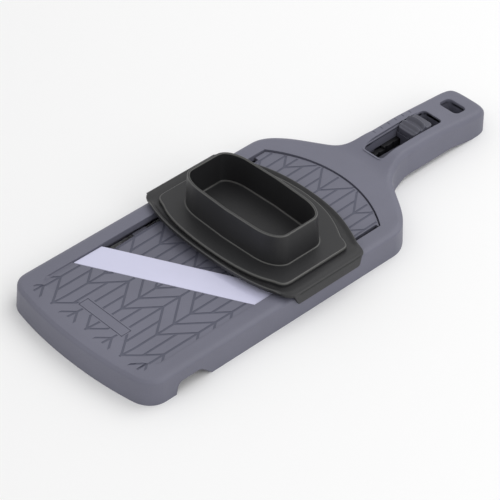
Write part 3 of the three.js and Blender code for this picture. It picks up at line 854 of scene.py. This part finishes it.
def board_openings(surface):
    parts = [plate_window(), lipped(SLOT, 2.5, 5, surface), lipped(HOLE, 3, -2, surface, lip=0.7)]
    for side in (-1, 1):
        near, far = sorted((side * 47, side * 53.5))
        parts += [bowl_notch(side), cross_rod(HINGE[0], HINGE[1], 2.3, near, far)]
    return gather(*parts)


def board_marks(surface):
    """Plain setting marks beside the slot and a plain frame on the deck."""
    def bar(x0, x1, y0, y1):
        return groove_bar(x0, x1, lambda _: y0, lambda _: y1, 0.2, surface)

    x0, x1, y0, y1 = LABEL
    line = 0.5
    marks = [bar(-12.6, -10.2, y, y + 0.45) for y in np.arange(241.5, 272, 6)]
    return gather(*marks, bar(x0, x1, y0, y0 + line), bar(x0, x1, y1 - line, y1),
                  bar(x0, x0 + line, y0 + line + 0.03, y1 - line - 0.03),
                  bar(x1 - line, x1, y0 + line + 0.03, y1 - line - 0.03))


# ---- blade -------------------------------------------------------------------------------------
class SLICER_OT_blade(bpy.types.Operator):
    """Build the slanted ceramic blade and the bar that clamps it"""
    bl_idname = "slicer.blade"
    bl_label = "Blade"

    def execute(self, context):
        half, gap, under, edge = BLADE_HIGH.x, 0.3, BLADE_LOW.z, 0.15
        bevel_depth, glaze = 5, 0.6
        top = DECK_TOP
        section = [(gap, under + 0.1), (gap + 0.1, under), (BLADE_DEPTH - bevel_depth, under),
                   (BLADE_DEPTH, top - edge - 0.1), (BLADE_DEPTH, top - 0.1), (BLADE_DEPTH - glaze, top),
                   (gap + 0.15, top), (gap, top - 0.15)]
        bm = along_x([Vector((y, z, 0)) for y, z in section], -half, half)
        bmesh.ops.transform(bm, matrix=Matrix(((1, 0, 0, 0), (BLADE_SLOPE, 1, 0, BLADE_FRONT_Y), (0, 0, 1, 0),
                                               (0, 0, 0, 1))), verts=bm.verts)
        blade = workpiece("blade", bm, MATERIALS["ceramic"])
        finish_piece(blade, "frame", "white_ceramic", "ceramic_blade", sharp=10)
        softened("blade_clamp", "blade_bar", "frame", "black_inner", MATERIALS["nylon"],
                 context.scene.slicer_shape.small_round / MM)
        return {"FINISHED"}


# ---- thickness plate ---------------------------------------------------------------------------
class SLICER_OT_plate(bpy.types.Operator):
    """Build the tilting thickness plate with its grooves, ribs, lugs and pegs"""
    bl_idname = "slicer.plate"
    bl_label = "Thickness plate"

    def execute(self, context):
        shape = context.scene.slicer_shape
        top = 14.3
        under = top - PLATE_THICK
        front = BLADE_DEPTH + 1.6
        arc = rear_arc(PLATE_ARC_R, TONGUE_HALF)
        points = [Vector((-PLATE_HALF, blade_line(-PLATE_HALF, front), 0)),
                  Vector((PLATE_HALF, blade_line(PLATE_HALF, front), 0)),
                  Vector((PLATE_HALF, SLOT_END[1] + 0.3, 0)), *arc,
                  Vector((-TONGUE_HALF, SLOT_END[0] + 0.3, 0)), Vector((-PLATE_HALF, SLOT_END[0] + 0.3, 0))]
        edge = 0.35
        distance = closeness(points)
        cuts = [("x", side * x) for x in (5, 15, 25, 35) for side in (-1, 1)]
        cuts += [("y", y) for y in range(48, 212, 12)]
        plate = workpiece("tilting_plate", slab(
            points, under, lambda x, y: top - edge_drop(distance(x, y), edge), (0.06, 0.1, 0.19), cuts),
            MATERIALS["plate"])
        ribs = [block(x - 0.8, x + 0.8, blade_line(x, front + 3), 180, under - 1.6, under + 0.4, soft=0.25)
                for x in (-43.2, -22, 0, 22, 43.2)]
        lugs = []
        for side in (-1, 1):
            near, far = sorted((side * (PLATE_HALF - 4), side * PLATE_HALF))
            lugs.append(block(near, far, HINGE[0] - 4, HINGE[0] + 4, HINGE[1] - 3.6, DECK_UNDER - 0.5,
                              soft=0.3))
            lugs.append(block(near, far, HINGE[0] - 4, HINGE[0] + 1.5, HINGE[1], under + 0.4))
        groove(plate, PLATE_ROWS, PLATE_BANDS, on_plate, PLATE_REACH, shape, lambda x, y: top)
        hinges = workpiece("hinge_lugs", gather(*lugs), MATERIALS["plate"])
        bores = [cross_rod(*HINGE, 2.3, *sorted((side * 39, side * 47.5))) for side in (-1, 1)]
        carve(hinges, gather(*bores), overlapping=True)
        join_on(plate, workpiece("ribs", gather(*ribs), MATERIALS["plate"]), hinges)
        pivot = Matrix.Translation((0, *HINGE))
        plate.data.transform(pivot @ Matrix.Rotation(PLATE_SLOPE, 4, "X") @ pivot.inverted())
        pegs = [cross_rod(126, 10.9, 1.3, *sorted((side * (PLATE_HALF - 1), side * 46.6)))
                for side in (-1, 1)]
        join_on(plate, workpiece("pegs", gather(*pegs), MATERIALS["plate"]))
        finish_piece(plate, "plate", "slate_plate", "thickness_plate")
        return {"FINISHED"}


# ---- slider ------------------------------------------------------------------------------------
def button_height(x, y):
    """Ridged thumb surface: a front ridge, a shallow dish and a bowed crest with a flat behind it."""
    rear = BUTTON_HIGH.y
    top = BUTTON_HIGH.z
    bow = 0.028 * x * x
    ends = 1 - 0.25 * ramp(abs(x), 4.5, 7)
    crest = (top - 20.2) * bell(y - (rear - 5.6 - bow), 2.1) * ends
    ridge = 1.7 * bell(y - (rear - 11.2), 1.9) * ends
    nib = 0.7 * bell(y - (rear - 14.0), 1.1) * ends
    return 20.1 - 0.9 * (1 - ramp(y, rear - 16, rear - 12)) + crest + ridge + nib


class SLICER_OT_slider(bpy.types.Operator):
    """Build the thumb button, the slider under it and its detent"""
    bl_idname = "slicer.slider"
    bl_label = "Slider"

    def execute(self, context):
        small = context.scene.slicer_shape.small_round / MM
        half, low = BUTTON_HIGH.x, BUTTON_LOW.z
        outline = rounded(-half, half, BUTTON_LOW.y, BUTTON_HIGH.y, 2.2, count=5)
        distance = closeness(outline)
        cuts = [("x", x) for x in np.arange(-6, 6.1, 1)]
        cuts += [("y", y) for y in np.arange(BUTTON_LOW.y + 0.5, BUTTON_HIGH.y - 0.3, 0.3)]
        bm = slab(outline, low, lambda x, y: button_height(x, y) - edge_drop(distance(x, y), 0.8),
                  rings=(0.1, 0.2, 0.25, 0.25), cuts=cuts)
        button = workpiece("thumb_slider", bm, MATERIALS["slider"])
        finish_piece(button, "adjuster", "slate_slider", "thumb_button", sharp=50)
        softened("adjuster_carriage", "slider_carriage", "adjuster", "slate_slider", MATERIALS["slider"],
                 small)
        softened("detent_spring", "detent_leaf", "adjuster", "bright_steel", MATERIALS["steel"], 0.04)
        softened("detent_spring_screw", "detent_leaf_screw", "adjuster", "bright_steel",
                 MATERIALS["steel"], 0.08)
        softened("detent_rack", "detent_rail", "frame", "black_inner", MATERIALS["nylon"], 0.12)
        return {"FINISHED"}


# ---- hand guard --------------------------------------------------------------------------------
class SLICER_OT_guard(bpy.types.Operator):
    """Build the sliding hand guard with its cup and the plate of pins under it"""
    bl_idname = "slicer.guard"
    bl_label = "Hand guard"

    def execute(self, context):
        guard = workpiece("hand_guard", guard_flange(), MATERIALS["charcoal"], MATERIALS["worn"])
        table = workpiece("table", guard_table(), *guard.data.materials)
        for part in (guard, table):
            carve(part, guard_hollow())
        join_on(guard, table, workpiece("sides", guard_sides(), MATERIALS["charcoal"]),
                workpiece("cup", guard_cup(), *guard.data.materials))
        finish_piece(guard, "guard", "charcoal_guard", "guard_shell", sharp=38)
        softened("pin_plate", "pin_carrier", "guard", "charcoal_guard", MATERIALS["charcoal"], 0.15, angle=40)
        return {"FINISHED"}


FLANGE = dict(half=61, front=95.5, rear=176.5, side_front=107.5, side_rear=158)
TABLE = dict(half=52.5, front=98.5, rear=172, side_front=110, side_rear=153)


def guard_flange():
    """Thin rim of the guard: a raised lip in front and behind, and flat wings at the sides."""
    outline = barrel_outline(**FLANGE)
    distance = closeness(outline)

    def top(x, y):
        d = distance(x, y)
        wing = ramp(abs(x), 49, 56)
        lip = 20.1 - edge_drop(d, 0.5) - 1.2 * ramp(d, 0.9, 3.2)
        flat = 19.6 - edge_drop(d, 0.9) - 0.3 * (1 - ramp(d, 1, 5))
        return lip * (1 - wing) + flat * wing

    cuts = [("x", side * x) for x in (10, 20, 30, 38, 44, 47, 49, 51, 53, 56) for side in (-1, 1)]
    cuts += [("y", y) for y in np.arange(98, 176, 3)]
    flange = slab(outline, lambda x, y: 17.8 + 0.3 * ramp(abs(x), 56, 61), top,
                  rings=(0.12, 0.2, 0.3, 0.4, 0.6, 0.8, 1), cuts=cuts)
    # Faces along the top edge of the rim take the lighter slot 1 material, a painted highlight
    for face in flange.faces:
        middle = face.calc_center_median()
        if middle.z > 19.2 and distance(middle.x, middle.y) < 0.33:
            face.material_index = 1
    return flange


def guard_table():
    """Raised table that carries the cup."""
    return tower(barrel_outline(**TABLE), 18.3, (2.1, 0), (0.35, 0.08), *turn(0.7, 90, 0, 4), (0.03, 1),
                 highlight_slot=1)


def guard_sides():
    parts = []
    for side in (-1, 1):
        near, far = sorted((side * 59.2, side * 61))
        outline = trace((107.4, 19.1), (110.4, 12.3), ((110.8, 11.7), (111.2, 11.5), (111.8, 11.5)),
                        (156, 11.5), ((157.4, 11.5), (158, 12.2), (158.2, 13.2)), (159.6, 19.1), count=5)
        skirt = along_x(outline, near, far)
        outer = [edge for edge in skirt.edges if all(abs(vert.co.x) > 60.9 for vert in edge.verts)]
        bevel(skirt, outer, 0.4)
        near, far = sorted((side * 50, side * 55))
        parts += [skirt, block(near, far, 110, 156, 15.8, 18.4, soft=0.4)]
    return gather(*parts)


def guard_hollow():
    """Hollow under the table."""
    inner = dict(half=50.3, front=100.7, rear=169.8, side_front=111, side_rear=152)
    return tower(barrel_outline(**inner), 15, (4.2, 0), *turn(0.4, 90, 0, 2))


def guard_cup():
    """Cup for the fingertips, with a soft foot, a rounded rim and a floor."""
    base, table, rim, floor = 19.9, 21.5, GUARD_HIGH.z, 21.95
    rise = rim - table - 0.47
    draft = 1.2
    steps = [(table - base - 0.35, 0), *turn(0.35, 90, 0, 2), (0.0, 0.2), *turn(0.5, 0, 88, 4),
             (rise - 0.55, draft), *turn(0.55, 88, 0, 4), (0.0, 0.5), *turn(0.5, 0, -88, 4),
             (-(rim - floor - 0.85), 0.5), *turn(0.35, -88, 0, 3), (0.12, 0.35), (-0.22, 0.3)]
    return tower(cup_outline(41.9, 22.6), base, *steps, highlight_slot=1)


# ---- screws, pins, feet and covers ---------------------------------------------------------------
def screw(name, node, body, x, y, head_under, head_height, head_r, shank_r, tip):
    """Pan-head screw that points up, with a threaded shank and a cross recess."""
    crown = 0.25 * head_height
    profile = [(0, head_under), (head_r * 0.75, head_under + 0.02), (head_r * 0.93, head_under + crown * 0.5),
               (head_r, head_under + crown * 1.3), (head_r, head_under + head_height),
               (shank_r, head_under + head_height)]
    z, pitch = head_under + head_height + 0.3, 0.42
    while z < tip - 1.2:
        profile += [(shank_r * 0.8, z), (shank_r, z + pitch / 2)]
        z += pitch
    profile += [(shank_r * 0.7, tip - 0.7), (0, tip)]
    obj = workpiece(name, turned(profile, x, y, 32), MATERIALS["steel"])
    arm, width, deep = head_r * 0.62, head_r * 0.2, head_height * 0.62
    bars = [block(x - arm, x + arm, y - width, y + width, head_under - 1, head_under + deep, soft=0.06),
            block(x - width, x + width, y - arm, y + arm, head_under - 1, head_under + deep, soft=0.06)]
    carve(obj, gather(*bars), overlapping=True)
    return finish_piece(obj, body, "bright_steel", node)


class SLICER_OT_fasteners(bpy.types.Operator):
    """Build the screws and the two hinge pins"""
    bl_idname = "slicer.fasteners"
    bl_label = "Screws and pins"

    def execute(self, context):
        rows = [(f"blade_screw_{i + 1}", "frame", 1.4, 1.1) for i in range(3)]
        rows.append(("thumb_button_screw", "adjuster", 1.6, 1.1))
        for side in ("left", "right"):
            rows.append((f"keeper_screw_{side}", "frame", 1.2, 1.1))
            rows += [(f"cover_screw_{side}_{i}", "frame", 1.0, 0.9) for i in (1, 2)]
            rows.append((f"pin_plate_screw_{side}", "guard", 1.1, 1.0))
        for node, body, head, shank in rows:
            low, high = node_box(node)
            centre = (low + high) / 2
            screw(f"{node}_turned", node, body, centre.x, centre.y, low.z, head, (high.x - low.x) / 2,
                  shank, high.z)
        for side in ("left", "right"):
            node = f"plate_hinge_pin_{side}"
            low, high = node_box(node)
            radius, chamfer = (high.z - low.z) / 2, 0.4
            bm = cross_rod(*HINGE, radius, low.x, high.x)
            ends = [e for e in bm.edges if abs(e.verts[0].co.x - e.verts[1].co.x) < 1e-4]
            bevel(bm, ends, chamfer, 3)
            finish_piece(workpiece(f"{node}_round", bm, MATERIALS["steel"]), "plate", "bright_steel", node)
        return {"FINISHED"}


class SLICER_OT_underside(bpy.types.Operator):
    """Build the feet, the cover under the handle and the strap that keeps the slider in place"""
    bl_idname = "slicer.underside"
    bl_label = "Feet and covers"

    def execute(self, context):
        small = context.scene.slicer_shape.small_round / MM
        for node, stem in (("front_foot_left", 1.6), ("front_foot_right", 1.6), ("handle_foot", 1.3)):
            low, high = node_box(node)
            centre, r = (low + high) / 2, (high.x - low.x) / 2
            grip = [(r * s, 0.0 if i % 4 in (0, 3) else 0.25)
                    for i, s in enumerate(np.linspace(0.25, 0.85, 12))]
            profile = [(0, 0), *grip, (r - 0.5, 0), (r - 0.15, 0.15), (r, 0.5), (r, 1.6), (r - 0.2, 1.8),
                       (stem, 1.8), (stem, high.z - 0.4), (stem - 0.3, high.z), (0, high.z)]
            obj = workpiece(f"{node}_moulded", turned(profile, centre.x, centre.y, 48), MATERIALS["rubber"])
            finish_piece(obj, "frame", "rubber_foot", node)
        softened("handle_cover", "handle_lid", "frame", "slate_shell", MATERIALS["slate"], small)
        softened("carriage_keeper", "slider_strap", "frame", "black_inner", MATERIALS["nylon"], small)
        return {"FINISHED"}


# ---- stage -------------------------------------------------------------------------------------
def area_light(name, place, aim, size, power):
    data = bpy.data.lights.new(name, "AREA")
    data.shape, data.size, data.energy = "DISK", size, power
    light = bpy.data.objects.new(name, data)
    light.location = place
    light.rotation_euler = (Vector(aim) - Vector(place)).to_track_quat("-Z", "Y").to_euler()
    bpy.context.scene.collection.objects.link(light)


class SLICER_OT_stage(bpy.types.Operator):
    """Set the pale floor, the soft lights and the camera"""
    bl_idname = "slicer.stage"
    bl_label = "Stage"

    def execute(self, context):
        settings = context.scene.slicer_stage
        scene = context.scene
        bm = bmesh.new()
        bmesh.ops.create_grid(bm, x_segments=8, y_segments=8, size=6)
        floor = workpiece("floor", bm, MATERIALS["floor"])

        area_light("key", (0.10, 0.75, 1.05), (0, 0.0, 0), 1.1, settings.key)
        area_light("side", (0.95, -0.10, 0.75), (0, 0, 0), 0.8, settings.side)
        world = bpy.data.worlds.new("studio")
        world.use_nodes = True
        background = world.node_tree.nodes["Background"]
        background.inputs["Color"].default_value = (1, 1, 1, 1)
        background.inputs["Strength"].default_value = settings.ambient
        scene.world = world
        scene.view_settings.view_transform = "Standard"

        camera = bpy.data.objects.new("camera", bpy.data.cameras.new("camera"))
        camera.data.sensor_width, camera.data.lens = 36, 172.8
        camera.data.clip_start, camera.data.clip_end = 0.05, 50
        azimuth, elevation, reach = math.radians(46.9), math.radians(40.55), 1.3329
        back = Vector((math.sin(azimuth) * math.cos(elevation), -math.cos(azimuth) * math.cos(elevation),
                       math.sin(elevation)))
        camera.location = Vector((0.0128, -0.0361, 0.0155)) + back * reach
        camera.rotation_euler = (math.pi / 2 - elevation, 0, azimuth)
        scene.collection.objects.link(camera)
        scene.camera = camera
        return {"FINISHED"}


class SLICER_PT_panel(bpy.types.Panel):
    """Sidebar panel with one button for each group of pieces"""
    bl_idname = "SLICER_PT_panel"
    bl_label = "Mandoline Slicer"
    bl_space_type = "VIEW_3D"
    bl_region_type = "UI"
    bl_category = "Slicer"

    def draw(self, context):
        for operator in OPERATORS:
            self.layout.operator(operator.bl_idname)
        for group in (context.scene.slicer_shape, context.scene.slicer_colours, context.scene.slicer_stage):
            for name in group.bl_rna.properties.keys():
                if name not in ("rna_type", "name"):
                    self.layout.prop(group, name)


OPERATORS = (SLICER_OT_board, SLICER_OT_blade, SLICER_OT_plate, SLICER_OT_slider, SLICER_OT_guard,
             SLICER_OT_fasteners, SLICER_OT_underside, SLICER_OT_stage)
GROUPS = {"slicer_shape": SlicerShape, "slicer_colours": SlicerColours, "slicer_stage": SlicerStage}


def register():
    for name, group in GROUPS.items():
        bpy.utils.register_class(group)
        setattr(bpy.types.Scene, name, bpy.props.PointerProperty(type=group))
    for item in (*OPERATORS, SLICER_PT_panel):
        bpy.utils.register_class(item)


def unregister():
    for item in (SLICER_PT_panel, *reversed(OPERATORS)):
        bpy.utils.unregister_class(item)
    for name, group in GROUPS.items():
        delattr(bpy.types.Scene, name)
        bpy.utils.unregister_class(group)


def main():
    register()
    make_materials(bpy.context.scene.slicer_colours)
    for name in ("board", "blade", "plate", "slider", "guard", "fasteners", "underside", "stage"):
        getattr(bpy.ops.slicer, name)()


if __name__ == "__main__":
    main()
